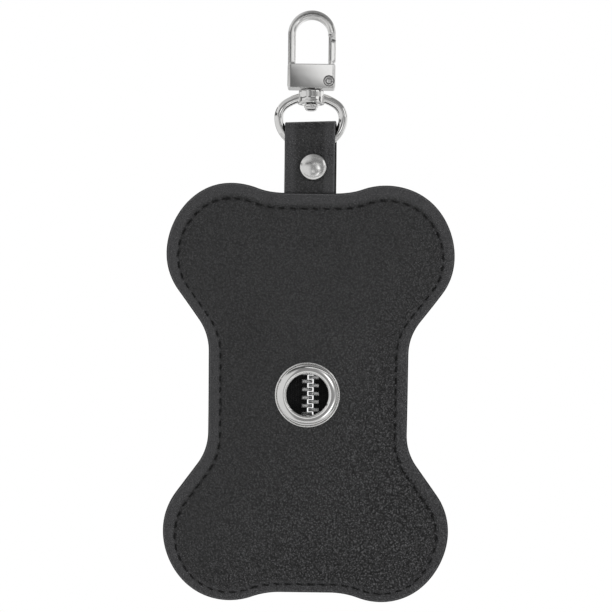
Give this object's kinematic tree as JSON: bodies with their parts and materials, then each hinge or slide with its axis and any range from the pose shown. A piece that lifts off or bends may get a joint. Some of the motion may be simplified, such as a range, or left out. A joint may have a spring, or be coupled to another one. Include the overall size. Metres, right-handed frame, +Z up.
{
  "type": "dog waste bag dispenser pouch",
  "caption": "Flat bone-shaped leather pouch with a round outlet eyelet in front and a zip behind, hung by a riveted strap from a swivel snap hook.",
  "frame": {"origin": "centre of the snap hook's round bow, on the axis of the rod or ring that it hangs from", "axes": "+Z up along the length of the hanging object, +X to the right seen from the front, +Y into the object from front to back, so the outlet eyelet faces -Y"},
  "size_m": [0.0942, 0.0136, 0.1935],
  "materials": {
    "leather": "fine pebbled black leather, cut edges dyed black",
    "thread": "black bonded polyester sewing thread",
    "plated_sheet": "bright nickel plate over stamped sheet brass or steel",
    "plated_casting": "bright nickel plate over cast zinc",
    "plated_steel": "bright nickel plate over turned or drawn steel",
    "zip_tape": "black woven polyester tape",
    "zip_metal": "silver-coloured stamped zip metal",
    "spring_steel": "drawn stainless spring wire"
  },
  "bodies": {
    "hook": {"hook_frame": "plated_casting", "swivel_stud": "plated_steel", "gate_pin": "plated_steel", "gate_spring": "spring_steel"},
    "gate": {"gate": "plated_casting"},
    "ring": {"swivel_ring": "plated_casting"},
    "strap_loop": {"tab_strap": "leather", "rivet_cap": "plated_sheet", "rivet_socket": "plated_sheet"},
    "pouch": {"front_panel": "leather", "back_panel": "leather", "perimeter_stitching": "thread", "eyelet": "plated_sheet", "eyelet_washer": "plated_sheet", "zip_tape_left": "zip_tape", "zip_tape_right": "zip_tape", "zip_teeth_left": "zip_metal", "zip_teeth_right": "zip_metal", "zip_top_stops": "zip_metal", "zip_bottom_stop": "zip_metal", "zip_stitching": "thread"},
    "zip_slider": {"zip_slider": "plated_casting"},
    "zip_pull": {"zip_pull": "plated_casting"}
  },
  "joints": [
    {"name": "gate_hinge", "type": "hinge", "parent": "hook", "child": "gate", "pos_m": [0.00565, 0, -0.01545], "axis": [0, -1, 0], "range_deg": [0, 28], "stiffness_Nm_per_rad": 0.04, "springref_deg": -28.65, "deforming": ["gate_spring"]},
    {"name": "ring_swivel", "type": "hinge", "parent": "hook", "child": "ring", "pos_m": [0, 0, -0.0204], "axis": [0, 0, 1], "continuous": true},
    {"name": "strap_on_ring", "type": "hinge", "parent": "ring", "child": "strap_loop", "pos_m": [0, 0, -0.03236], "axis": [1, 0, 0], "range_deg": [-6, 6]},
    {"name": "strap_bend", "type": "hinge", "parent": "strap_loop", "child": "pouch", "pos_m": [0, 0, -0.05005], "axis": [1, 0, 0], "range_deg": [-60, 60], "stiffness_Nm_per_rad": 0.02, "deforming": ["tab_strap"]},
    {"name": "zip_travel", "type": "slide", "parent": "pouch", "child": "zip_slider", "axis": [0, 0, -1], "range_m": [0, 0.063], "deforming": ["zip_teeth_left", "zip_teeth_right"]},
    {"name": "pull_hinge", "type": "hinge", "parent": "zip_slider", "child": "zip_pull", "pos_m": [0.001, 0.0076, -0.08545], "axis": [1, 0, 0], "range_deg": [0, 170]}
  ]
}
